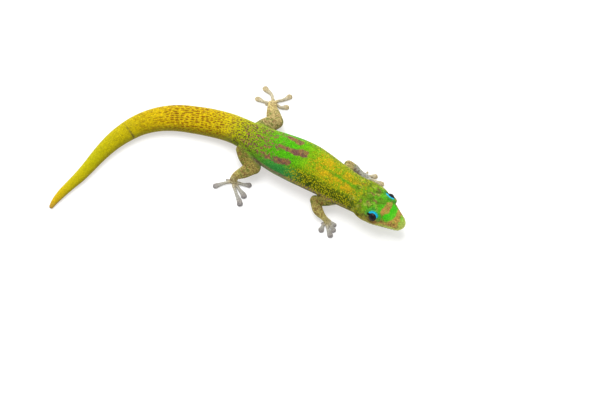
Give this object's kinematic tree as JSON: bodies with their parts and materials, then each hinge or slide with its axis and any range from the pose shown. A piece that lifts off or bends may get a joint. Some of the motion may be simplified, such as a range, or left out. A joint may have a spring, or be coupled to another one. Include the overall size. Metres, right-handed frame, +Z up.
{
  "type": "gold dust day gecko",
  "caption": "Small day gecko at rest on the ground, head turned aside, with splayed limbs, broad toe pads, round lidded eyes and a thick tail curved back behind it.",
  "frame": {"origin": "centre of the bounding box in plan, on the ground under the feet and tail", "axes": "+X along the whole animal from tail tip to snout, +Y across it to its left, +Z up"},
  "size_m": [0.1064, 0.0538, 0.0119],
  "materials": {
    "skin_green": "satin",
    "skin_gold": "satin",
    "skin_tail": "satin",
    "skin_limb": "satin",
    "eye": "gloss"
  },
  "bodies": {
    "root": {"tail_tip": "skin_tail", "tail_end": "skin_tail", "tail_middle": "skin_tail", "tail_root": "skin_tail", "torso": "skin_green", "neck": "skin_gold", "head": "skin_green", "jaw": "skin_gold", "eye_left": "eye", "eye_right": "eye", "upper_arm_left": "skin_limb", "forearm_left": "skin_limb", "hand_left": "skin_limb", "upper_arm_right": "skin_limb", "forearm_right": "skin_limb", "hand_right": "skin_limb", "thigh_left": "skin_limb", "shank_left": "skin_limb", "foot_left": "skin_limb", "thigh_right": "skin_limb", "shank_right": "skin_limb", "foot_right": "skin_limb"}
  },
  "joints": []
}
